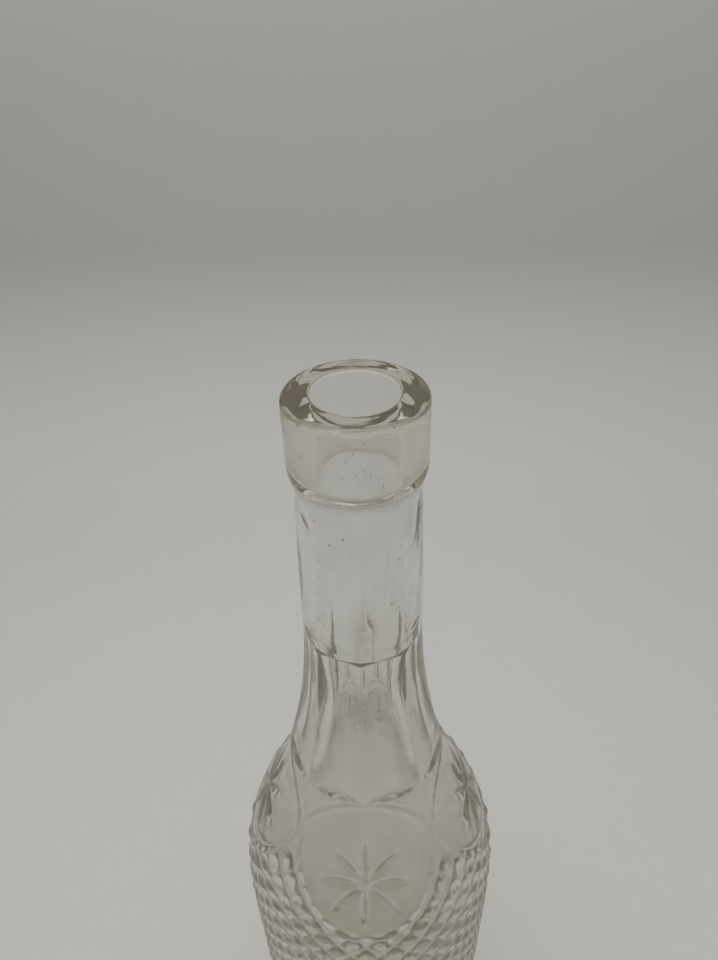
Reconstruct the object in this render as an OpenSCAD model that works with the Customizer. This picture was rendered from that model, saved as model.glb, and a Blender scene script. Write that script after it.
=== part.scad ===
// Pressed glass bottle with a panelled neck, star medallions and a field of diamond points.
// Millimetres. The bottle stands on Z = 0 with its axis on Z, and a medallion faces -Y.

/* [Whole bottle] */
// Height from the resting ring to the top of the lip
bottle_h = 280; // [260:1:330]
// Diameter across the diamond points at the foot of the shoulder
body_d = 73.2; // [70:0.2:78]
// Diameter across the diamond points just above the plain heel
heel_d = 70.4; // [68:0.2:73]

/* [Lip] */
// Bore of the mouth, which takes a cork or a stopper
bore_d = 16.6; // [15:0.1:18.6]
// Outside diameter of the lip
lip_d = 28; // [27:0.2:31]
// Height of the straight band of the lip
lip_band_h = 14.5; // [11:0.5:18]
// Height of the taper from the band in to the neck
lip_taper_h = 5; // [4:0.5:8]
// Rounding of the lip's top outer edge
lip_edge_r = 1.4; // [0.6:0.1:2.2]
// Rounding of the edge of the mouth
mouth_edge_r = 0.7; // [0.2:0.1:1]
// How far the lip laps down over the end of the neck
lap_h = 2.5; // [1.5:0.5:4]
// Thickness of the lip's skirt at its lower end
skirt_t = 1.1; // [0.8:0.1:1.4]

/* [Neck] */
// Diameter of the neck just below the lip
neck_top_d = 25.8; // [25:0.1:27]
// Diameter of the round neck just above the panels
neck_round_d = 27.2; // [26.6:0.1:28]
// Length of the round part of the neck, below the lip
neck_round_h = 39; // [30:1:46]
// Diameter across the ridges where the panels begin
panel_top_d = 27.5; // [27:0.1:29]
// Diameter across the ridges at the foot of the neck
panel_foot_d = 39.2; // [36:0.2:42]
// Length of the panels
panels_h = 42.2; // [34:0.2:50]
// How sharply the panels spread towards the foot of the neck
panel_spread = 1.9; // [1.5:0.1:2.4]
// Height of the ledge between the round neck and the panels
ledge_h = 0.8; // [0.5:0.1:1.5]
// Width inside the neck
neck_bore_d = 20.4; // [19:0.2:21]

/* [Shoulder] */
// Height of the shoulder, from the foot of the neck to the body
shoulder_h = 60.5; // [56:0.5:66]
// How far the neck's flare runs on into the shoulder
flare_run = 29.8; // [26:0.2:34]
// Spread of that flare, in millimetres outward for each millimetre down
flare_slope = 0.2; // [0.15:0.01:0.25]
// How far the body's line runs on up into the shoulder
body_run = 39; // [35:0.5:43]

/* [Diamond points] */
// Number of points in a row round the body
points_around = 28; // [24:4:32]
// Height of a row, which is half of a diamond
row_h = 4; // [3.4:0.1:4.6]
// How far the points stand above the valleys between them
point_rise = 1.1; // [0.7:0.1:1.4]
// Distance from the foot of the neck down to the highest row
field_drop = 19.5; // [18:0.5:24]

/* [Medallions] */
// Width of the oval medallion
medal_w = 37.6; // [34:0.2:38]
// Length of the medallion along the shoulder
medal_l = 43.2; // [38:0.2:44]
// Distance from the foot of the neck down to the medallion's middle
medal_drop = 21; // [20:0.5:24]
// Lean of the medallion's face from upright, in degrees
medal_lean = 25; // [20:1:30]
// How far the medallion's floor lies under the valleys
floor_drop = 0.25; // [0.15:0.05:0.4]
// Width of the raised rim
rim_w = 1.2; // [0.8:0.1:1.8]
// Height of the rim over the medallion's floor
rim_rise = 0.5; // [0.3:0.1:0.8]
// Plain margin between the rim and the medallion's edge
rim_margin = 0.6; // [0.4:0.1:1]

/* [Star] */
// Number of petals
petals = 8; // [6:1:10]
// Reach of a petal's tip from the star's middle
petal_reach = 12.4; // [10:0.2:14]
// Length of the cut that makes one petal
petal_l = 11.6; // [9:0.2:13]
// Depth of the cut at its middle
petal_depth = 1; // [0.6:0.1:1.3]
// Distance from the medallion's middle down to the star's middle
star_drop = 3; // [1:0.5:5]

/* [Heel and base] */
// Height of the plain band under the diamond points
heel_band_h = 12; // [10:0.5:16]
// Rounding of the heel
heel_r = 5; // [3:0.5:6.5]
// Width of the ring that the bottle rests on
ring_w = 4.5; // [3:0.5:6]
// Depth of the hollow under the base
push_up_h = 6; // [3:0.5:9]

/* [Thickness of the glass] */
// Wall of the neck at its foot
wall_neck = 3.4; // [2.8:0.1:4]
// Wall of the body, measured to the valleys between the points
wall_body = 4; // [3.4:0.1:4.6]
// Glass over the middle of the base
base_t = 8; // [6:0.5:10]
// Rounding inside, where the wall meets the base
inner_corner_r = 9; // [5:0.5:12]

/* [Hidden] */

neck_sides = 8;
medallions = 4;
columns = 2 * points_around;
column_step = 360 / columns;

// Levels, from the top down
lip_foot_z = bottle_h - lip_band_h - lip_taper_h;
neck_end_z = lip_foot_z + lap_h;
round_foot_z = lip_foot_z - neck_round_h;
panel_top_z = round_foot_z - ledge_h;
neck_foot_z = panel_top_z - panels_h;
shoulder_foot_z = neck_foot_z - shoulder_h;
field_foot_z = heel_band_h;
rows = floor((neck_foot_z - field_drop - field_foot_z) / row_h);
field_top_z = field_foot_z + rows * row_h;

// Radii at those levels, to the valleys of the diamond field
body_r = body_d / 2 - point_rise;
heel_top_r = heel_d / 2 - point_rise;
shoulder_top_r = panel_foot_d / 2 - 0.3;
flat_share = cos(180 / neck_sides);
ring_r = heel_top_r - heel_r + 0.5;
ring_in_r = ring_r - ring_w;
collar_socket_r = neck_top_d / 2 - skirt_t;
bore_r = bore_d / 2;

function mix(a, b, t) = a + (b - a) * t;

// Steps of the S-shaped shoulder curve, as [height, radius]
curve_steps = 48;
function bezier(a, b, c, d, t) =
    pow(1 - t, 3) * a + 3 * pow(1 - t, 2) * t * b + 3 * (1 - t) * t * t * c + pow(t, 3) * d;
shoulder_curve = [for (i = [0 : curve_steps]) let (t = 1 - i / curve_steps) [
    bezier(neck_foot_z, neck_foot_z - flare_run, shoulder_foot_z + body_run, shoulder_foot_z, t),
    bezier(shoulder_top_r, shoulder_top_r + flare_run * flare_slope, body_r, body_r, t)]];

// Radius of the smooth glass under the points, from the heel up to the foot of the neck
function smooth_r(z) =
    z > shoulder_foot_z ? lookup(z, shoulder_curve)
    : mix(heel_top_r, body_r, (z - field_foot_z) / (shoulder_foot_z - field_foot_z));

// Radius to the ridges of the panelled neck
function ridge_r(z) =
    mix(panel_top_d, panel_foot_d, pow(max(0, panel_top_z - z) / panels_h, panel_spread)) / 2;

// Radius of the round neck above the panels
function round_r(z) =
    mix(neck_top_d, neck_round_d, (1 - cos(180 * (lip_foot_z - z) / neck_round_h)) / 2) / 2;

// The skin is a stack of rings, each [height, radius, kind]
ROUND = 0;
PANEL = 1;
POINTS = 2;
heel_rings = [for (a = [0 : 30 : 90])
    [heel_r * (1 - cos(a)), ring_r + (heel_top_r - 0.2 - ring_r) * sin(a), ROUND]];
field_rings = [for (j = [0 : rows]) let (z = field_foot_z + j * row_h)
    [z, smooth_r(z), j == 0 || j == rows ? ROUND : POINTS]];
upper_steps = 4;
upper_rings = [for (i = [1 : upper_steps]) let (z = mix(field_top_z, neck_foot_z - 1, i / upper_steps))
    [z, smooth_r(z), ROUND]];
panel_steps = 6;
panel_rings = [for (i = [0 : panel_steps]) let (z = mix(neck_foot_z, panel_top_z, i / panel_steps))
    [z, ridge_r(z), PANEL]];
round_steps = 4;
round_rings = [for (i = [0 : round_steps]) let (z = mix(round_foot_z, lip_foot_z, i / round_steps))
    [z, round_r(z), ROUND]];
rings = concat(heel_rings, field_rings, upper_rings, panel_rings, round_rings);
first_field_ring = len(heel_rings);

// Radius of one corner of the skin: chords between the ridges on a panel, every other corner
// raised to a point in the diamond field
function panel_share(i) = let (n = columns / neck_sides)
    flat_share / cos((i % n) / n * 360 / neck_sides - 180 / neck_sides);
function corner_r(j, i) =
    rings[j][2] == PANEL ? rings[j][1] * panel_share(i)
    : rings[j][1] + (rings[j][2] == POINTS && is_point(j, i) ? point_rise : 0);
function is_point(j, i) = (i + j - first_field_ring) % 2 == 0;
function corner(j, i) = corner_r(j, i) * [cos(i * column_step), sin(i * column_step)];

module skin() {
    last = len(rings) - 1;
    corners = [for (j = [0 : last]) for (i = [0 : columns - 1]) concat(corner(j, i), rings[j][0])];
    function at(j, i) = j * columns + i % columns;
    // Each square of the net is split along its valley
    sides = [for (j = [0 : last - 1]) for (i = [0 : columns - 1])
        each is_point(j, i)
            ? [[at(j, i), at(j + 1, i), at(j, i + 1)], [at(j + 1, i + 1), at(j, i + 1), at(j + 1, i)]]
            : [[at(j, i), at(j + 1, i), at(j + 1, i + 1)], [at(j, i), at(j + 1, i + 1), at(j, i + 1)]]];
    bottom = [for (i = [0 : columns - 1]) at(0, i)];
    top = [for (i = [columns - 1 : -1 : 0]) at(last, i)];
    polyhedron(points = corners, faces = concat([bottom, top], sides), convexity = 8);
}

// The smooth glass under the points, grown or shrunk by "more"; it also keeps the neck whole
core_step = 5;
module smooth_core(more) {
    low_z = neck_foot_z - shoulder_h;
    levels = [for (z = [low_z : core_step : neck_foot_z - 1]) z];
    guard_r = panel_foot_d / 2 + 1;
    rotate_extrude($fn = columns)
        polygon(concat(
            [[0, low_z], for (z = levels) [smooth_r(z) + more, z]],
            [[smooth_r(neck_foot_z) + more, neck_foot_z], [guard_r, neck_foot_z + 0.5],
             [guard_r, panel_top_z], [0, panel_top_z]]));
}

medal_z = neck_foot_z - medal_drop;
module on_medallions() {
    for (q = [0 : medallions - 1])
        rotate([0, 0, q * 360 / medallions])
            translate([smooth_r(medal_z), 0, medal_z])
                rotate([0, -medal_lean, 0])
                    children();
}

// An upright oval plug along the medallion's facing direction
plug_in = 8;
plug_out = 9;
module oval_plug(inset) {
    rotate([0, 90, 0])
        translate([0, 0, -plug_in])
            scale([medal_l / 2 - inset, medal_w / 2 - inset, 1])
                cylinder(r = 1, h = plug_in + plug_out, $fn = 48);
}

module medallion_rims() {
    intersection() {
        on_medallions() difference() {
            oval_plug(rim_margin);
            oval_plug(rim_margin + rim_w);
        }
        smooth_core(rim_rise - floor_drop);
    }
}

// A cutting wheel with a square edge leaves a lens-shaped petal of the stated length and depth
wheel_r = (pow(petal_l / 2, 2) + pow(petal_depth, 2)) / (2 * petal_depth);
wheel_t = 3;
module wheel() {
    rotate([90, 0, 0])
        for (side = [0, 1])
            mirror([0, 0, side])
                cylinder(r1 = wheel_r, r2 = wheel_r - wheel_t, h = wheel_t, $fn = 36);
}

// Lean of the smooth glass from upright at a height
function lean(z) = atan((smooth_r(z - 1) - smooth_r(z + 1)) / 2);

module star() {
    star_z = medal_z - star_drop;
    star_lean = lean(star_z);
    middle = petal_reach - petal_l / 2;
    for (k = [0 : petals - 1]) {
        turn = k * 360 / petals;
        z = star_z + middle * cos(turn) * cos(star_lean);
        r = smooth_r(z) - floor_drop;
        rotate([0, 0, asin(middle * sin(turn) / r)])
            translate([r, 0, z])
                rotate([0, -lean(z), 0])
                    rotate([-turn, 0, 0])
                        translate([wheel_r - petal_depth, 0, 0])
                            wheel();
    }
}

// The relief is one moulded skin, trimmed to the diameter across its points
module moulded_skin() {
    resize([body_d, body_d, 0])
        difference() {
            union() {
                difference() {
                    skin();
                    difference() {
                        on_medallions() oval_plug(0);
                        smooth_core(-floor_drop);
                    }
                }
                medallion_rims();
            }
            for (q = [0 : medallions - 1])
                rotate([0, 0, q * 360 / medallions]) star();
        }
}

// Inside of the neck, shoulder and body
cavity_foot_z = push_up_h + base_t;
cavity_edge_z = cavity_foot_z - push_up_h / 2;
function inner_r(z) = max(neck_bore_d / 2,
    z > neck_foot_z ? ridge_r(min(z, panel_top_z)) * flat_share - wall_neck
    : smooth_r(z) - mix(wall_neck, wall_body, min(1, (neck_foot_z - z) / shoulder_h)));

module cavity() {
    corner_top_z = cavity_edge_z + inner_corner_r;
    corner_x = inner_r(corner_top_z) - inner_corner_r;
    wall_levels = concat([corner_top_z],
        [for (z = [shoulder_foot_z : 4 : panel_top_z]) z], [panel_top_z]);
    rotate_extrude($fn = 96)
        polygon(concat(
            [[0, cavity_foot_z]],
            [for (a = [-90 : 15 : -15])
                [corner_x + inner_corner_r * cos(a), corner_top_z + inner_corner_r * sin(a)]],
            [for (z = wall_levels) [inner_r(z), z]],
            [[neck_bore_d / 2, neck_end_z + 1], [0, neck_end_z + 1]]));
}

// Shallow dome pressed up into the base, inside the resting ring
module push_up() {
    dome_r = (pow(ring_in_r, 2) + pow(push_up_h, 2)) / (2 * push_up_h);
    dome_steps = 8;
    span = asin(ring_in_r / dome_r);
    rotate_extrude($fn = 96)
        polygon(concat(
            [[0, -1], [ring_in_r, -1]],
            [for (i = [0 : dome_steps]) let (a = span * (1 - i / dome_steps))
                [dome_r * sin(a), push_up_h - dome_r * (1 - cos(a))]]));
}

// Body, shoulder and neck in one piece; the neck's bare end stands up inside the lip
module bottle() {
    color([0.80, 0.82, 0.81, 0.55])
        difference() {
            union() {
                moulded_skin();
                translate([0, 0, lip_foot_z])
                    cylinder(r = collar_socket_r, h = lap_h, $fn = 96);
            }
            cavity();
            push_up();
        }
}

// The lip is a second gather of glass, laid on the neck's end and tooled round the bore
module lip_collar() {
    lip_r = lip_d / 2;
    neck_r = neck_top_d / 2;
    band_foot_z = bottle_h - lip_band_h;
    edge_steps = [0 : 15 : 90];
    color([0.74, 0.75, 0.71, 0.6])
        rotate_extrude($fn = 96)
            polygon(concat(
                [[bore_r, neck_end_z], [collar_socket_r, neck_end_z], [collar_socket_r, lip_foot_z],
                 [neck_r, lip_foot_z]],
                [for (t = [0.25 : 0.25 : 1])
                    [mix(neck_r, lip_r, (1 - cos(180 * t)) / 2), mix(lip_foot_z, band_foot_z, t)]],
                [for (a = edge_steps)
                    [lip_r - lip_edge_r * (1 - cos(a)), bottle_h - lip_edge_r * (1 - sin(a))]],
                [for (a = edge_steps)
                    [bore_r + mouth_edge_r * (1 - sin(a)), bottle_h - mouth_edge_r * (1 - cos(a))]]));
}

bottle();
lip_collar();
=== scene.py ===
"""Clear pressed glass bottle with star medallions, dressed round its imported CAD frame.

Lengths are metres, with Z up.
"""

import math

import bpy
import numpy as np
from mathutils import Matrix, Vector


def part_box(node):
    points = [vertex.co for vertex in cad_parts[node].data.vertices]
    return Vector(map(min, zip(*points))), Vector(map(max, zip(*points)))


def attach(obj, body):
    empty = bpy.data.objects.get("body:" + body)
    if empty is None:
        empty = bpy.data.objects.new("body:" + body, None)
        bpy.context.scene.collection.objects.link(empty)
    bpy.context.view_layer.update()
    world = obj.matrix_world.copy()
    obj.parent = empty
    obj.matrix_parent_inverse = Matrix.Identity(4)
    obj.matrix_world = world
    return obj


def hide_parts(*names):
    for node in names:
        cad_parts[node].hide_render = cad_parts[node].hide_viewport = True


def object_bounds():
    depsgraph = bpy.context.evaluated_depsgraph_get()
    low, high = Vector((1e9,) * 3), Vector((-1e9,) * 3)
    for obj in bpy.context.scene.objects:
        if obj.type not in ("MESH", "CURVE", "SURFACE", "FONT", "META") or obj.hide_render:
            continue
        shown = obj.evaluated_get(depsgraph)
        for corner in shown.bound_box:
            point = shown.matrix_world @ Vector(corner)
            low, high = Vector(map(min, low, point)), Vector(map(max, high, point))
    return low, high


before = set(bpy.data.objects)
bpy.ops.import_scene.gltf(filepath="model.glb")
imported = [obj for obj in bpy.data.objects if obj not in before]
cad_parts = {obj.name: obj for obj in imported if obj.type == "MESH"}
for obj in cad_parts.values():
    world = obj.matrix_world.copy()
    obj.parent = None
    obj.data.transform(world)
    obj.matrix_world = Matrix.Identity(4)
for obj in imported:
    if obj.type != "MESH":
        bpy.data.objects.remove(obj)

bl_info = {
    "name": "Pressed Glass Bottle",
    "version": (1, 0, 0),
    "blender": (4, 5, 0),
    "location": "3D View > Sidebar > Bottle",
    "description": "Builds a pressed glass bottle with star medallions, and a pale stage for it",
    "category": "Object",
}

MM = 0.001
FULL_TURN = 2 * math.pi
CAD_LOW, CAD_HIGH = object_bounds()
COLLAR_LOW, COLLAR_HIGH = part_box("lip_collar")


# Settings


def size(name, millimetres, about):
    """A length that the user can change, given here in millimetres."""
    return bpy.props.FloatProperty(
        name=name,
        description=about,
        default=millimetres * MM,
        min=0.0,
        precision=5,
        unit="LENGTH",
        subtype="DISTANCE",
    )


def tint(name, red, green, blue, about):
    """A colour that the user can change."""
    return bpy.props.FloatVectorProperty(
        name=name,
        description=about,
        default=(red, green, blue),
        min=0.0,
        max=1.0,
        subtype="COLOR",
    )


def amount(name, value, about, low=0.0, high=1.0):
    """A plain number that the user can change."""
    return bpy.props.FloatProperty(
        name=name, description=about, default=value, min=low, max=high
    )


def count(name, value, about):
    """A whole number that the user can change."""
    return bpy.props.IntProperty(name=name, description=about, default=value, min=1)


class BottleShape(bpy.types.PropertyGroup):
    """Sizes of the glass, from the lip down to the base."""

    height: size("Height", CAD_HIGH.z / MM, "From the resting ring to the top of the lip")
    mouth_d: size("Mouth", 16.6, "Width of the bore of the mouth")
    mouth_edge: size("Mouth edge", 0.7, "Rounding of the edge of the mouth")
    lip_d: size("Lip", (COLLAR_HIGH.x - COLLAR_LOW.x) / MM, "Width of the lip")
    lip_edge: size("Lip edge", 1.4, "Rounding of the lip's outer edge")
    lip_foot: size("Lip foot", COLLAR_LOW.z / MM, "Height of the lip's lower end")
    lip_taper: size("Lip taper", 5.0, "Height over which the lip narrows to the neck")
    neck_end: size("Neck end", 263.0, "Height where the wide bore of the neck ends")
    neck_bore_d: size("Neck bore", 20.4, "Width inside the neck")
    neck_top_d: size("Neck below the lip", 25.8, "Width of the neck just below the lip")
    neck_round_d: size("Neck over the panels", 27.2, "Width of the round neck at its foot")
    round_foot: size("Foot of the round neck", 221.5, "Height where the round neck ends")
    ledge: size("Ledge", 0.8, "Height of the ledge over the panels")
    groove: size("Groove", 0.6, "Depth of the groove along the front of the ledge")
    worn_run: size("Worn ledge", 5.0, "Height that the worn back of the ledge takes")
    panel_top_d: size("Panels at the top", 27.5, "Width across the ridges at the top")
    panel_foot_d: size("Panels at the foot", 39.2, "Width across the ridges at the foot")
    panel_spread: amount("Panel spread", 1.9, "How sharply the panels spread", 1.0, 3.0)
    neck_foot: size("Foot of the neck", 178.5, "Height where the panels end")
    shoulder_foot: size("Foot of the shoulder", 118.0, "Height where the body begins")
    flare_run: size("Flare run", 29.8, "How far the neck's flare runs on down")
    flare_slope: amount("Flare slope", 0.2, "Spread of that flare for each unit down")
    body_run: size("Body run", 39.0, "How far the body's line runs on up")
    body_d: size("Body", 71.0, "Width of the body at its top, under the points")
    heel_d: size("Heel", 68.2, "Width of the body at its foot, under the points")
    heel_band: size("Heel band", 12.0, "Height of the plain band at the foot")
    heel_round: size("Heel rounding", 5.0, "Rounding of the heel")
    ring_width: size("Resting ring", 4.5, "Width of the ring that the bottle rests on")
    push_up: size("Push-up", 6.0, "Depth of the hollow under the base")
    wall_neck: size("Wall of the neck", 3.4, "Thickness of the neck at its foot")
    wall_body: size("Wall of the body", 4.0, "Thickness of the body under the points")
    base_thick: size("Base", 8.0, "Glass over the middle of the base")
    inner_corner: size("Inner corner", 9.0, "Rounding where the wall meets the base")


class BottleRelief(bpy.types.PropertyGroup):
    """Sizes of the moulded pattern."""

    panels: count("Panels", 8, "Number of flat sides of the neck")
    medallions: count("Medallions", 4, "Number of oval medallions round the shoulder")
    points: count("Points", 28, "Number of diamond points in a row")
    row_height: size("Row height", 4.0, "Height of half a diamond")
    rows: count("Rows", 36, "Number of half rows of points")
    point_rise: size("Point rise", 0.95, "Height of a point over the valleys")
    medal_width: size("Medallion width", 37.6, "Width of a medallion")
    medal_length: size("Medallion length", 43.2, "Length of a medallion up the shoulder")
    medal_drop: size("Medallion drop", 21.0, "From the foot of the neck to its middle")
    medal_lean: amount("Medallion lean", 25.0, "Lean of its face, in degrees", 0.0, 60.0)
    floor_drop: size("Medallion floor", 0.25, "How far its floor lies under the valleys")
    rim_width: size("Rim width", 1.2, "Width of the raised rim")
    rim_rise: size("Rim rise", 0.5, "Height of the rim over the medallion's floor")
    rim_margin: size("Rim margin", 0.6, "From the rim to the edge of the medallion")
    petals: count("Petals", 8, "Number of petals of a star")
    petal_reach: size("Petal reach", 12.4, "From the star's middle to a petal's tip")
    petal_length: size("Petal length", 11.6, "Length of the cut of one petal")
    petal_depth: size("Petal depth", 1.5, "Depth of the cut at its middle")
    petal_slope: amount("Petal slope", 1.1, "Steepness of the sides of the cut", 0.1, 3.0)
    star_drop: size("Star drop", 3.0, "From the medallion's middle to the star's middle")


class BottleFinish(bpy.types.PropertyGroup):
    """Colour, clearness, dust and specks of the glass, with the colour of the painted shade in
    its cuts.
    """

    glass: tint("Glass", 0.985, 0.985, 0.985, "Colour of the glass")
    depth_colour: tint("Depth", 0.56, 0.49, 0.25, "Colour that thick glass turns to")
    depth_strength: amount("Depth strength", 14.0, "How fast thick glass darkens", 0.0, 100.0)
    ior: amount("Bending", 1.5, "Index of refraction of the glass", 1.0, 2.0)
    dust: tint("Dust", 0.30, 0.275, 0.235, "Colour of the dust film")
    # Colour of the specks, and also of the painted shade in the hollows of the cuts.
    dirt_and_shade: tint("Dirt", 0.055, 0.045, 0.035, "Colour of the specks")


class BottleStage(bpy.types.PropertyGroup):
    """The tent, its light and the camera."""

    tent: size("Tent", 450.0, "From the bottle to each wall of the tent")
    cove: size("Cove", 150.0, "Rounding between the floor and the walls")
    wall: size("Wall", 900.0, "Height of the walls")
    floor_colour: tint("Floor", 0.440, 0.437, 0.424, "Colour of the floor")
    wall_colour: tint("Walls", 0.438, 0.436, 0.419, "Colour of the walls")
    beyond: tint("Beyond", 0.27, 0.267, 0.257, "Colour of what shows over the walls")
    lamp_width: size("Lamp width", 800.0, "Width of the square lamp over the tent")
    top_light: amount("Top light", 7.0, "Power of the lamp over the tent", 0.0, 100.0)
    camera_out: size("Camera distance", 119.44, "From the bottle's axis to the camera")
    camera_up: size("Camera height", 67.04, "From the top of the lip up to the camera")
    camera_turn: amount("Camera turn", 3.0, "Turn from the front, in degrees", -180.0, 180.0)
    camera_pitch: amount("Camera pitch", 36.07, "Degrees below the horizon", 0.0, 90.0)
    camera_roll: amount("Camera roll", -1.78, "Tilt of the camera, in degrees", -45.0, 45.0)
    camera_shift: size("Camera offset", 0.19, "Sideways from the bottle's axis")
    focal: size("Focal length", 28.125, "Focal length on a sensor of 36 mm")


# The skin's outline


def ease(low, high, value):
    """0 below low, 1 above high, and a smooth rise in between."""
    t = np.clip((value - low) / (high - low), 0, 1)
    return t * t * (3 - 2 * t)


def mix(a, b, t):
    """The value a share t of the way from a to b."""
    return a + (b - a) * t


def cubic(a, b, c, d, t):
    """The value at t of a cubic curve with four control values."""
    return (1 - t) ** 3 * a + 3 * (1 - t) ** 2 * t * b + 3 * (1 - t) * t**2 * c + t**3 * d


def arc(middle_z, middle_r, radius, start, end, steps):
    """Heights and radii along an arc, from one angle to another, both in degrees from outward."""
    a = np.radians(np.linspace(start, end, steps))
    return list(zip(middle_z + radius * np.sin(a), middle_r + radius * np.cos(a)))


class Outline:
    """Radii of the bottle at a height, as the CAD source gives them."""

    def __init__(self, shape):
        self.s = shape
        t = np.linspace(0, 1, 200)
        foot, top = shape.shoulder_foot, shape.neck_foot
        top_r = shape.panel_foot_d / 2 - 0.3 * MM
        flare_r = top_r + shape.flare_run * shape.flare_slope
        body_r = shape.body_d / 2
        heights = cubic(foot, foot + shape.body_run, top - shape.flare_run, top, t)
        radii = cubic(body_r, body_r, flare_r, top_r, t)
        self.heights = np.concatenate([[shape.heel_band], heights])
        self.radii = np.concatenate([[shape.heel_d / 2], radii])

    def smooth(self, z):
        """The shoulder and the body, under the points."""
        return np.interp(z, self.heights, self.radii)

    def lean(self, z):
        """How much the shoulder leans there: its run outward for each unit down."""
        step = 0.5 * MM
        return (self.smooth(z - step) - self.smooth(z + step)) / (2 * step)

    def ridge(self, z):
        """The ridges between the panels."""
        s = self.s
        top = s.round_foot - s.ledge
        down = np.clip((top - z) / (top - s.neck_foot), 0, 1)
        return mix(s.panel_top_d, s.panel_foot_d, down**s.panel_spread) / 2

    def round_neck(self, z):
        """The round neck, from the lip's foot down to the ledge."""
        s = self.s
        down = np.clip((s.lip_foot - z) / (s.lip_foot - s.round_foot), 0, 1)
        return mix(s.neck_top_d, s.neck_round_d, (1 - np.cos(np.pi * down)) / 2) / 2

    def inside(self, z, panels):
        """The inner face of the wall."""
        s = self.s
        flat = self.ridge(z) * math.cos(math.pi / panels) - s.wall_neck
        down = np.clip((s.neck_foot - z) / (s.neck_foot - s.shoulder_foot), 0, 1)
        round_part = self.smooth(z) - mix(s.wall_neck, s.wall_body, down)
        blend = ease(s.neck_foot - 3 * MM, s.neck_foot + 3 * MM, z)
        return np.maximum(s.neck_bore_d / 2, mix(round_part, flat, blend))


# The moulded relief


def diamond_points(relief, foot, turn, z):
    """Height of the diamond points over the valleys: a net of four-sided pyramids."""
    across = turn * 2 * relief.points / FULL_TURN
    up = (z - foot) / relief.row_height
    u, v = across + up, across - up
    middle_u, middle_v = 2 * np.round(u / 2), 2 * np.round(v / 2)
    row = (middle_u - middle_v) / 2
    side = 5.0  # a lower number rounds the ridges of a point more
    off = (abs(u - middle_u) ** side + abs(v - middle_v) ** side) ** (1 / side)
    rise = np.clip(1 - off, 0, 1)
    tip = 0.12  # share of the height that the rounded tip takes off
    rise = np.where(rise > 1 - 2 * tip, rise - (rise - 1 + 2 * tip) ** 2 / (4 * tip), rise)
    return relief.point_rise * rise / (1 - tip) * ((row > 0.5) & (row < relief.rows - 0.5))


def medallion_place(relief, outline, turn, z):
    """Where a point of the skin lies on the nearest medallion: across it and up its face."""
    step = FULL_TURN / relief.medallions
    away = turn - np.round(turn / step) * step
    middle_z = outline.s.neck_foot - relief.medal_drop
    r = outline.smooth(z)
    lean = math.radians(relief.medal_lean)
    out = r * np.cos(away) - outline.smooth(middle_z)
    return r * np.sin(away), (z - middle_z) * math.cos(lean) - out * math.sin(lean)


def petal_cut(relief, across, up):
    """Depth of the star's cuts, each a lens with straight sides."""
    reach, half = relief.petal_reach, relief.petal_length / 2
    wheel = (half**2 + relief.petal_depth**2) / (2 * relief.petal_depth)
    depth = np.zeros_like(across)
    for k in range(relief.petals):
        a = k * FULL_TURN / relief.petals
        along = across * math.sin(a) + up * math.cos(a) - (reach - half)
        beside = across * math.cos(a) - up * math.sin(a)
        cut = relief.petal_depth - along**2 / (2 * wheel) - relief.petal_slope * abs(beside)
        depth = np.maximum(depth, cut)
    return depth


def moulded_relief(relief, outline, turn, z):
    """Height of the whole pattern over the smooth glass."""
    across, up = medallion_place(relief, outline, turn, z)
    half_w, half_l = relief.medal_width / 2, relief.medal_length / 2
    oval = np.hypot(across / half_w, up / half_l)
    inward = (1 - oval) * (half_w + half_l) / 2
    outside = 1 - ease(-0.35 * MM, 0.35 * MM, inward)
    field = diamond_points(relief, outline.s.heel_band, turn, z) * outside
    rim_middle = relief.rim_margin + relief.rim_width / 2
    from_rim = np.clip(abs(inward - rim_middle) / relief.rim_width, 0, 1)
    rim = relief.rim_rise * np.cos(np.pi / 2 * from_rim) ** 2
    star = petal_cut(relief, across, up + relief.star_drop)
    return field + (1 - outside) * (rim - relief.floor_drop - star)


def panelled(relief, turn):
    """Share of the ridge's radius on a neck with flat panels and softened ridges."""
    softness = 150.0  # a higher number makes the ridges sharper
    total = np.zeros_like(turn)
    for k in range(relief.panels):
        facing = (k + 0.5) * FULL_TURN / relief.panels
        total += np.clip(np.cos(turn - facing), 0, 1) ** softness
    return math.cos(math.pi / relief.panels) / total ** (1 / softness)


def ripple(turn, z, waves):
    """Slow waves of hand-worked glass, each (height, waves round, waves per metre, phase)."""
    return sum(
        high * np.sin(around * turn + FULL_TURN * along * z + phase)
        for high, around, along, phase in waves
    )


OUTER_WAVES = (
    (0.030 * MM, 3, 31, 0.4),
    (0.020 * MM, 5, -47, 2.1),
    (0.014 * MM, 11, 19, 4.4),
    (0.010 * MM, 17, -13, 1.3),
)
INNER_WAVES = (
    (0.10 * MM, 2, 17, 1.9),
    (0.07 * MM, 3, -29, 0.2),
    (0.05 * MM, 5, 41, 3.3),
    (0.03 * MM, 9, 23, 5.2),
    (0.02 * MM, 14, -37, 2.6),
)
WAVE_ROOM = 0.08 * MM  # keeps the outer waves inside the CAD's outline
LIP_WAVES = (
    (0.05 * MM, 2, 0, 0.9),
    (0.03 * MM, 3, 0, 2.2),
    (0.015 * MM, 7, 0, 4.0),
)


# Making meshes


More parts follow.
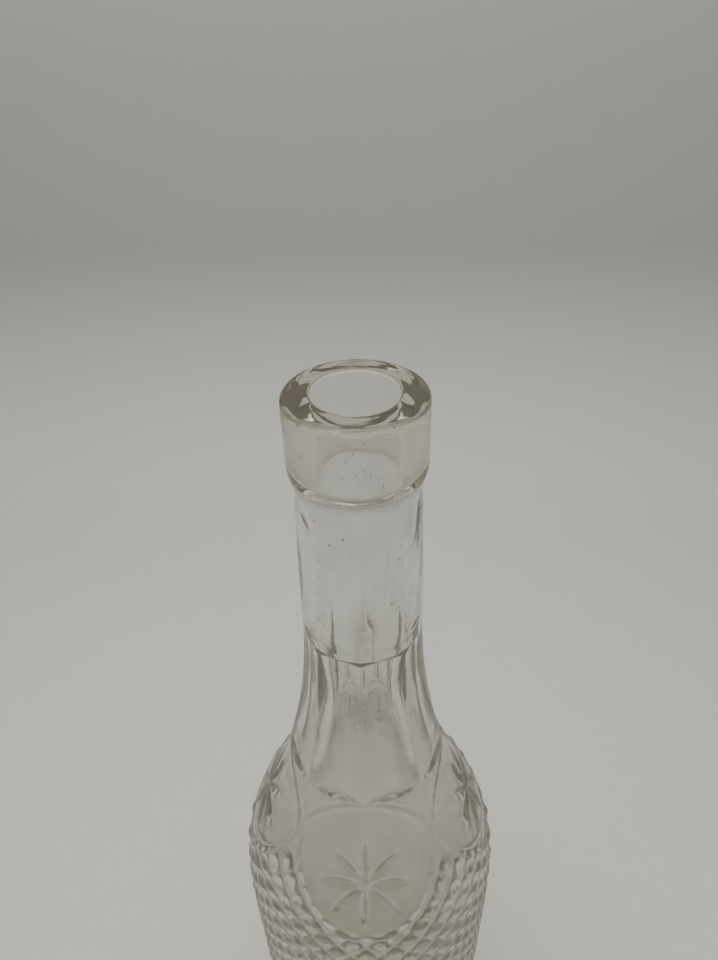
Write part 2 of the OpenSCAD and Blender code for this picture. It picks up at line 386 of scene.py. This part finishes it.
class Skin:
    """Rings of points round the axis, joined in order into one closed surface."""

    def __init__(self):
        self.rings = []

    def ring(self, z, radius, columns):
        """Adds a ring. Its height and radius are numbers, or one number for each column."""
        turn = np.arange(columns) * FULL_TURN / columns
        r = radius(turn, z) if callable(radius) else radius
        points = np.empty((columns, 3))
        points[:, 0] = r * np.cos(turn)
        points[:, 1] = r * np.sin(turn)
        points[:, 2] = z(turn) if callable(z) else z
        self.rings.append(points)

    def faces(self):
        """Quads between like rings, and five-sided faces where the number of points halves."""
        starts = np.cumsum([0] + [len(r) for r in self.rings])
        made = []
        for a, b, ring_a, ring_b in zip(starts, starts[1:], self.rings, self.rings[1:]):
            n, m = len(ring_a), len(ring_b)
            i = np.arange(min(n, m))
            after = (i + 1) % len(i)
            if n == m:
                rows = [a + i, a + after, b + after, b + i]
            elif n == 2 * m:
                rows = [a + 2 * i, a + 2 * i + 1, a + 2 * after, b + after, b + i]
            elif m == 2 * n:
                rows = [a + i, a + after, b + 2 * after, b + 2 * i + 1, b + 2 * i]
            else:
                raise RuntimeError("neighbouring rings have to be alike, or one half the other")
            made += np.stack(rows, 1).tolist()
        return made

    def mesh(self, name, low_tip, high_tip):
        """The finished mesh, with a point on the axis to close each end."""
        points = np.concatenate(self.rings)
        faces = self.faces()
        first, last = len(self.rings[0]), len(self.rings[-1])
        total = len(points)
        faces += [[total, (i + 1) % first, i] for i in range(first)]
        start = total - last
        faces += [[start + i, start + (i + 1) % last, total + 1] for i in range(last)]
        points = np.concatenate([points, [[0, 0, low_tip], [0, 0, high_tip]]])
        mesh = bpy.data.meshes.new(name)
        mesh.from_pydata(points.tolist(), [], faces)
        mesh.update()
        if mesh.validate():
            raise RuntimeError(f"the mesh of {name} had faces that Blender can't keep")
        mesh.shade_smooth()
        return mesh


FINE, MIDDLE, COARSE = 336, 168, 84


def add_underside(skin, outline):
    """Push-up, resting ring and heel, from the middle outward."""
    s = outline.s
    heel_r = s.heel_d / 2
    ring_r = heel_r - s.heel_round + 0.5 * MM
    ring_in = ring_r - s.ring_width
    dome = (ring_in**2 + s.push_up**2) / (2 * s.push_up)
    span = math.asin(ring_in / dome)
    for a in np.linspace(0.08, 0.98, 11) * span:
        skin.ring(s.push_up - dome * (1 - math.cos(a)), dome * math.sin(a), COARSE)
    for share, up in ((0.03, 0.08), (0.12, 0.0), (0.5, 0.0), (0.9, 0.0)):
        skin.ring(up * MM, ring_in + share * s.ring_width, COARSE)
    for a in np.radians(np.linspace(8, 90, 9)):
        r = mix(ring_r, heel_r - 0.2 * MM, math.sin(a))
        skin.ring(s.heel_round * (1 - math.cos(a)), r, COARSE)


def add_field(skin, outline, relief):
    """Heel band, diamond points, medallions and the plain glass over them."""
    s = outline.s

    def radius(turn, z):
        slope = np.sqrt(1 + outline.lean(z) ** 2)
        waves = ripple(turn, z, OUTER_WAVES) - WAVE_ROOM
        return outline.smooth(z) + (moulded_relief(relief, outline, turn, z) + waves) * slope

    skin.ring(mix(s.heel_round, s.heel_band, 0.35), s.heel_d / 2 - 0.15 * MM, MIDDLE)
    fine_from = s.neck_foot - relief.medal_drop - 0.52 * relief.medal_length
    coarse = np.linspace(s.heel_band - 1 * MM, fine_from, 110)
    fine = np.linspace(fine_from, s.neck_foot - 1.2 * MM, 84)[1:]
    for z in np.concatenate([coarse, fine]):
        skin.ring(z, radius, FINE)


def add_panels(skin, outline, relief):
    """The step at the foot of the neck, the panels and the ledge over them."""
    s = outline.s
    top = s.round_foot - s.ledge

    def front(turn):
        """1 on the crisp front of the neck, and 0 on its worn back."""
        return ease(-0.3, 0.6, -np.sin(turn))

    def panel(turn, z):
        flat = outline.ridge(z) * panelled(relief, turn) + ripple(turn, z, OUTER_WAVES)
        worn = (1 - front(turn)) * ease(top - s.worn_run, s.round_foot, z)
        return mix(flat, outline.round_neck(z), worn)

    for share in (0.25, 0.5, 0.75):
        z = s.neck_foot - (1 - share) * 1.2 * MM
        skin.ring(z, lambda t, h: mix(outline.smooth(h), panel(t, h), ease(0, 1, share)), FINE)
    for z in np.linspace(s.neck_foot, top - 0.4 * MM, 26):
        skin.ring(z, panel, FINE)
    for share in np.linspace(0, 1, 9):
        z = mix(top - 0.2 * MM, s.round_foot + 0.3 * MM, share)

        def ledge(turn, h, share=share):
            sunk = s.groove * front(turn) * math.sin(math.pi * share) ** 2
            return mix(panel(turn, h), outline.round_neck(h), ease(0.4, 1, share)) - sunk

        skin.ring(z, ledge, FINE)


def add_neck(skin, outline):
    """The round neck and the outside of the lip."""
    s = outline.s

    def neck(turn, z):
        return outline.round_neck(z) + ripple(turn, z, OUTER_WAVES)

    for z in np.linspace(s.round_foot + 0.5 * MM, s.lip_foot - 0.6 * MM, 16):
        skin.ring(z, neck, MIDDLE)
    band_foot = s.lip_foot + s.lip_taper
    lip_r, neck_r = s.lip_d / 2 - 0.1 * MM, s.neck_top_d / 2
    for share in np.linspace(0, 1, 12):
        z = mix(s.lip_foot - 0.2 * MM, band_foot, share)
        r = mix(neck_r, lip_r, (1 - math.cos(math.pi * share)) / 2)
        skin.ring(z, lambda t, h, r=r: r + ripple(t, h, LIP_WAVES), MIDDLE)
    for z in np.linspace(band_foot, s.height - s.lip_edge, 7)[1:-1]:
        skin.ring(z, lambda t, h: lip_r + ripple(t, h, LIP_WAVES), MIDDLE)


def add_lip_top(skin, outline):
    """Rounded outer edge, top and mouth edge of the lip, and the bore."""
    s = outline.s
    lip_r, bore_r = s.lip_d / 2 - 0.1 * MM, s.mouth_d / 2
    waves = LIP_WAVES
    edge = arc(s.height - s.lip_edge, lip_r - s.lip_edge, s.lip_edge, 0, 86, 8)
    mouth = arc(s.height - s.mouth_edge, bore_r + s.mouth_edge, s.mouth_edge, 94, 180, 7)
    inner_edge = mouth[0][1]
    across = np.linspace(edge[-1][1], inner_edge, 7)[1:-1]
    top = [(s.height - 0.12 * MM, r) for r in across]
    for z, r in edge + top + mouth:
        skin.ring(
            lambda t, z=z: np.minimum(z + ripple(t, 0, waves) - 0.06 * MM, s.height),
            lambda t, h, r=r: r + ripple(t + 1.0, 0, waves),
            MIDDLE,
        )
    for z in np.linspace(s.height - s.mouth_edge, s.neck_end + 0.8 * MM, 8)[1:]:
        skin.ring(z, lambda t, h: bore_r + 0.4 * ripple(t, h, INNER_WAVES), MIDDLE)


def add_inside(skin, outline, relief):
    """The step under the lip, then the inner wall down to the floor of the cavity."""
    s = outline.s
    bore_r, wide_r = s.mouth_d / 2, s.neck_bore_d / 2
    for share in (0.12, 0.3, 0.5, 0.7, 0.88):
        z = s.neck_end + mix(0.5, -0.5, share) * MM
        skin.ring(z, mix(bore_r, wide_r, ease(0, 1, share)), MIDDLE)

    def wall(turn, z):
        calm = ease(0, 12 * MM, s.neck_end - z)
        return outline.inside(z, relief.panels) + calm * ripple(turn, z, INNER_WAVES)

    foot = s.push_up + s.base_thick
    edge_z = foot - s.push_up / 2
    corner_top = edge_z + s.inner_corner
    corner_r = float(outline.inside(corner_top, relief.panels)) - s.inner_corner
    neck = np.linspace(s.neck_end - 1.2 * MM, s.neck_foot + 8 * MM, 26)
    shoulder = np.linspace(s.neck_foot + 7 * MM, s.shoulder_foot, 36)
    body = np.linspace(s.shoulder_foot - 4 * MM, corner_top, 20)
    for z in np.concatenate([neck, shoulder, body]):
        skin.ring(z, wall, COARSE)
    for z, r in arc(corner_top, corner_r, s.inner_corner, -6, -84, 9):
        skin.ring(z, r, COARSE)
    for share in (0.85, 0.6, 0.35, 0.12):
        skin.ring(mix(foot, edge_z, share**2), corner_r * share, COARSE)
    return foot


def new_piece(name, mesh, material):
    """A piece of the bottle, in the scene and with its material."""
    piece = bpy.data.objects.new(name, mesh)
    bpy.context.scene.collection.objects.link(piece)
    mesh.materials.append(material)
    return piece


# Materials


class Shader:
    """A material's nodes, added and joined in few words."""

    def __init__(self, name):
        self.material = bpy.data.materials.new(name)
        self.material.use_nodes = True
        self.tree = self.material.node_tree
        self.tree.nodes.clear()
        self.output = self.add("ShaderNodeOutputMaterial")

    def add(self, kind, **settings):
        """A node. Settings are its own properties, or names of inputs with _ for a space."""
        node = self.tree.nodes.new(kind)
        for key, value in settings.items():
            if hasattr(node, key):
                setattr(node, key, value)
                continue
            socket = node.inputs[key.replace("_", " ")]
            self.feed(value, socket)
        return node

    def feed(self, value, socket):
        """Joins a socket's value to an input, or sets the input to a plain value."""
        if isinstance(value, bpy.types.NodeSocket):
            self.tree.links.new(value, socket)
        elif hasattr(value, "__len__") and len(value) == 3 and len(socket.default_value) == 4:
            socket.default_value = (*value, 1.0)
        else:
            socket.default_value = value

    def math(self, operation, a, b=0.0, clamp=False):
        """The result of a sum on two values."""
        node = self.add("ShaderNodeMath", operation=operation, use_clamp=clamp)
        self.feed(a, node.inputs[0])
        self.feed(b, node.inputs[1])
        return node.outputs[0]

    def spread(self, value, low, high, to_low=0.0, to_high=1.0):
        """Maps a range of a value to another, smoothly at its ends."""
        node = self.add("ShaderNodeMapRange", interpolation_type="SMOOTHSTEP")
        for socket, v in zip(node.inputs, (value, low, high, to_low, to_high)):
            self.feed(v, socket)
        return node.outputs["Result"]

    def noise(self, where, scale, detail=2.0, roughness=0.5):
        """Cloudy noise from 0 to 1, with scale the number of clouds to a metre."""
        node = self.add(
            "ShaderNodeTexNoise", Vector=where, Scale=scale, Detail=detail, Roughness=roughness
        )
        return node.outputs["Fac"]

    def blend(self, factor, a, b):
        """Mixes two shaders."""
        node = self.add("ShaderNodeMixShader")
        self.feed(factor, node.inputs[0])
        self.feed(a, node.inputs[1])
        self.feed(b, node.inputs[2])
        return node.outputs[0]


def specks(shader, where, size_scale, radius, keep, clumps):
    """Small round specks: one in each cell of a net, most of them left out."""
    cells = shader.add("ShaderNodeTexVoronoi", Vector=where, Scale=size_scale)
    near = shader.spread(cells.outputs["Distance"], radius, radius * 0.6)
    chance = shader.add("ShaderNodeSeparateColor")
    shader.feed(cells.outputs["Color"], chance.inputs[0])
    chosen = shader.math("GREATER_THAN", chance.outputs[0], shader.math("SUBTRACT", 1.0, keep))
    return shader.math("MULTIPLY", shader.math("MULTIPLY", near, chosen), clumps)


def bottle_glass(finish):
    """Clear pressed glass: warm where it is thick, with dust and specks, and painted shade
    darkening the hollows of its cuts.
    """
    m = Shader("clear_pressed_glass")
    where = m.add("ShaderNodeTexCoord").outputs["Object"]
    place = m.add("ShaderNodeSeparateXYZ", Vector=where)
    up = place.outputs["Z"]

    pressed = m.spread(up, 0.225, 0.175)
    waves = m.noise(where, 160.0, 2.0, 0.45)
    fine = m.noise(where, 900.0, 1.0, 0.5)
    uneven = m.math("ADD", waves, m.math("MULTIPLY", fine, 0.12))
    bump = m.add("ShaderNodeBump", Height=uneven, Strength=0.35, Distance=0.25 * MM)

    clear = m.add(
        "ShaderNodeBsdfPrincipled",
        Base_Color=tuple(finish.glass),
        Roughness=m.spread(pressed, 0.0, 1.0, 0.015, 0.15),
        IOR=finish.ior,
        Transmission_Weight=1.0,
        Normal=bump.outputs[0],
    )

    cloud = m.noise(where, 55.0, 3.0, 0.6)
    film = m.spread(cloud, 0.35, 0.75, 0.012, 0.06)
    dusty = m.add(
        "ShaderNodeBsdfPrincipled",
        Base_Color=tuple(finish.dust),
        Roughness=0.9,
        Normal=bump.outputs[0],
    )
    # Dark colour of the specks, also used as painted shade in the hollows of the cuts.
    dirt_and_shade_bsdf = m.add("ShaderNodeBsdfPrincipled", Base_Color=tuple(finish.dirt_and_shade), Roughness=0.8)
    worked = m.spread(up, 0.215, 0.262)
    clumps = m.math("MULTIPLY", worked, m.spread(cloud, 0.5, 0.62))
    small = specks(m, where, 1500.0, 0.22, 0.16, clumps)
    large = specks(m, where, 420.0, 0.11, 0.09, worked)
    speck = m.math("MULTIPLY", m.math("ADD", small, large), 0.75, clamp=True)

    # Painted shade: concave hollows of the pressed pattern are darkened toward the dark speck
    # colour, standing in for shade in the cuts.
    hollow = m.spread(m.add("ShaderNodeNewGeometry").outputs["Pointiness"], 0.48, 0.42, 0.0, 0.3)
    painted_shade_in_cuts = m.math("MULTIPLY", hollow, pressed)

    surface = m.blend(film, clear.outputs[0], dusty.outputs[0])
    surface = m.blend(painted_shade_in_cuts, surface, dirt_and_shade_bsdf.outputs[0])
    surface = m.blend(speck, surface, dirt_and_shade_bsdf.outputs[0])

    path = m.add("ShaderNodeLightPath")
    lamp_ray = m.math("MAXIMUM", path.outputs["Is Shadow Ray"], path.outputs["Is Diffuse Ray"])
    let_through = m.add("ShaderNodeBsdfTransparent", Color=(0.93, 0.925, 0.91))
    m.feed(m.blend(lamp_ray, surface, let_through.outputs[0]), m.output.inputs["Surface"])
    depth = m.add(
        "ShaderNodeVolumeAbsorption",
        Color=tuple(finish.depth_colour),
        Density=finish.depth_strength,
    )
    m.feed(depth.outputs[0], m.output.inputs["Volume"])
    return m.material


def tent_cloth(stage):
    """The tent's even cloth: pale on the floor, greyer up the walls."""
    m = Shader("tent_cloth")
    where = m.add("ShaderNodeTexCoord").outputs["Object"]
    up = m.add("ShaderNodeSeparateXYZ", Vector=where).outputs["Z"]
    rise = m.spread(up, 0.0, stage.cove * 0.9)
    colour = m.add("ShaderNodeMix", data_type="RGBA")
    m.feed(rise, colour.inputs[0])
    m.feed(tuple(stage.floor_colour), colour.inputs[6])
    m.feed(tuple(stage.wall_colour), colour.inputs[7])
    weave = m.noise(where, 1400.0, 2.0)
    bump = m.add("ShaderNodeBump", Height=weave, Strength=0.1, Distance=0.1 * MM)
    cloth = m.add(
        "ShaderNodeBsdfPrincipled",
        Base_Color=colour.outputs[2],
        Roughness=1.0,
        Specular_IOR_Level=0.0,
        Normal=bump.outputs[0],
    )
    m.feed(cloth.outputs[0], m.output.inputs["Surface"])
    return m.material


# Operators


class OBJECT_OT_bottle_glass(bpy.types.Operator):
    """Builds the glass of the bottle, its lip and its cavity as one closed skin"""

    bl_idname = "object.bottle_glass"
    bl_label = "Bottle Glass"
    bl_options = {"REGISTER", "UNDO"}

    def execute(self, context):
        scene = context.scene
        relief = scene.bottle_relief
        outline = Outline(scene.bottle_shape)
        skin = Skin()
        add_underside(skin, outline)
        add_field(skin, outline, relief)
        add_panels(skin, outline, relief)
        add_neck(skin, outline)
        add_lip_top(skin, outline)
        floor_z = add_inside(skin, outline, relief)
        mesh = skin.mesh("bottle_glass", outline.s.push_up, floor_z)
        glass = new_piece("bottle_glass", mesh, bottle_glass(scene.bottle_finish))
        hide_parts("bottle", "lip_collar")
        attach(glass, "root")
        return {"FINISHED"}


class OBJECT_OT_bottle_stage(bpy.types.Operator):
    """Builds the tent, its light and the camera"""

    bl_idname = "object.bottle_stage"
    bl_label = "Bottle Stage"
    bl_options = {"REGISTER", "UNDO"}

    def execute(self, context):
        stage = context.scene.bottle_stage
        make_tent(stage)
        make_light(stage)
        make_camera(stage)
        set_view(context.scene)
        return {"FINISHED"}


def make_tent(stage):
    """A square tent with rounded corners: its floor turns up into the walls."""
    flat = stage.tent - stage.cove
    profile = [(0.0, flat * share) for share in (0.5, 0.9, 1.0)]
    profile += arc(stage.cove, flat, stage.cove, -80, 0, 9)
    profile += [(stage.wall * share, stage.tent) for share in (0.3, 0.65, 1.0)]
    columns = 96
    turn = np.arange(columns) * FULL_TURN / columns
    square = 12.0  # a higher number gives the plan sharper corners
    plan = (abs(np.cos(turn)) ** square + abs(np.sin(turn)) ** square) ** (-1 / square)
    rings = [np.stack([r * plan * np.cos(turn), r * plan * np.sin(turn), 0 * turn + z], 1)
             for z, r in profile]
    points = np.concatenate([*rings, [[0, 0, 0]]])
    middle = len(points) - 1
    i = np.arange(columns)
    after = (i + 1) % columns
    faces = [[middle, a, b] for a, b in zip(i.tolist(), after.tolist())]
    for row in range(len(rings) - 1):
        a, b = row * columns, (row + 1) * columns
        faces += np.stack([a + i, b + i, b + after, a + after], 1).tolist()
    mesh = bpy.data.meshes.new("tent")
    mesh.from_pydata(points.tolist(), [], faces)
    mesh.shade_smooth()
    tent = bpy.data.objects.new("tent", mesh)
    bpy.context.scene.collection.objects.link(tent)
    mesh.materials.append(tent_cloth(stage))


LAMP_PLACE = Vector((-0.15, 0.05, 1.0))
LIT_PLACE = Vector((0, 0, 0.1))  # the point that the lamp is aimed at


def make_light(stage):
    """A soft lamp over the tent, and even light from all round."""
    scene = bpy.context.scene
    lamp = bpy.data.lights.new("top_light", "AREA")
    lamp.shape = "SQUARE"
    lamp.size = stage.lamp_width
    lamp.energy = stage.top_light
    lamp_object = bpy.data.objects.new("top_light", lamp)
    scene.collection.objects.link(lamp_object)
    lamp_object.location = LAMP_PLACE
    direction = LIT_PLACE - LAMP_PLACE
    lamp_object.rotation_euler = direction.to_track_quat("-Z", "Y").to_euler()
    lamp_object.visible_glossy = False
    lamp_object.visible_transmission = False

    world = bpy.data.worlds.new("tent_light")
    world.use_nodes = True
    tree = world.node_tree
    tree.nodes.clear()
    output = tree.nodes.new("ShaderNodeOutputWorld")
    path = tree.nodes.new("ShaderNodeLightPath")
    light = tree.nodes.new("ShaderNodeBackground")
    light.inputs["Color"].default_value = (1.0, 1.0, 0.99, 1.0)
    light.inputs["Strength"].default_value = 1.0
    seen = tree.nodes.new("ShaderNodeBackground")
    seen.inputs["Color"].default_value = (*stage.beyond, 1.0)
    mixer = tree.nodes.new("ShaderNodeMixShader")
    tree.links.new(path.outputs["Is Diffuse Ray"], mixer.inputs[0])
    tree.links.new(seen.outputs[0], mixer.inputs[1])
    tree.links.new(light.outputs[0], mixer.inputs[2])
    tree.links.new(mixer.outputs[0], output.inputs["Surface"])
    scene.world = world


def make_camera(stage):
    """The camera at the photograph's angle, above the lip and in front of the bottle."""
    turn, pitch = math.radians(stage.camera_turn), math.radians(stage.camera_pitch)
    out = Vector((math.sin(turn), -math.cos(turn), 0))
    right = Vector((math.cos(turn), math.sin(turn), 0))
    back = out * math.cos(pitch) + Vector((0, 0, math.sin(pitch)))
    upward = back.cross(right)
    mouth = Vector((0, 0, CAD_HIGH.z))
    data = bpy.data.cameras.new("camera")
    data.sensor_width = 36.0
    data.lens = stage.focal / MM
    data.clip_start = 5 * MM
    camera = bpy.data.objects.new("camera", data)
    bpy.context.scene.collection.objects.link(camera)
    place = mouth + out * stage.camera_out + right * stage.camera_shift
    place.z += stage.camera_up
    axes = Matrix((right, upward, back)).transposed().to_4x4()
    roll = Matrix.Rotation(math.radians(stage.camera_roll), 4, "Z")
    camera.matrix_world = Matrix.Translation(place) @ axes @ roll
    bpy.context.scene.camera = camera


def set_view(scene):
    """Plain colours, and enough bounces for light that stays long in the glass."""
    scene.view_settings.view_transform = "Standard"
    scene.cycles.max_bounces = 28
    scene.cycles.glossy_bounces = 20
    scene.cycles.transmission_bounces = 28
    scene.cycles.transparent_max_bounces = 24


class VIEW3D_PT_bottle(bpy.types.Panel):
    """Lists the steps that build the bottle"""

    bl_idname = "VIEW3D_PT_bottle"
    bl_label = "Glass Bottle"
    bl_space_type = "VIEW_3D"
    bl_region_type = "UI"
    bl_category = "Bottle"

    def draw(self, context):
        for step in STEPS:
            self.layout.operator(step.bl_idname)
        for name in GROUPS:
            box = self.layout.box()
            settings = getattr(context.scene, name)
            for key in settings.__annotations__:
                box.prop(settings, key)


STEPS = (OBJECT_OT_bottle_glass, OBJECT_OT_bottle_stage)
GROUPS = {
    "bottle_shape": BottleShape,
    "bottle_relief": BottleRelief,
    "bottle_finish": BottleFinish,
    "bottle_stage": BottleStage,
}
CLASSES = (*GROUPS.values(), *STEPS, VIEW3D_PT_bottle)


def register():
    for cls in CLASSES:
        bpy.utils.register_class(cls)
    for name, group in GROUPS.items():
        setattr(bpy.types.Scene, name, bpy.props.PointerProperty(type=group))


def unregister():
    for name in GROUPS:
        delattr(bpy.types.Scene, name)
    for cls in reversed(CLASSES):
        bpy.utils.unregister_class(cls)


def main():
    register()
    bpy.ops.object.bottle_glass()
    bpy.ops.object.bottle_stage()


if __name__ == "__main__":
    main()
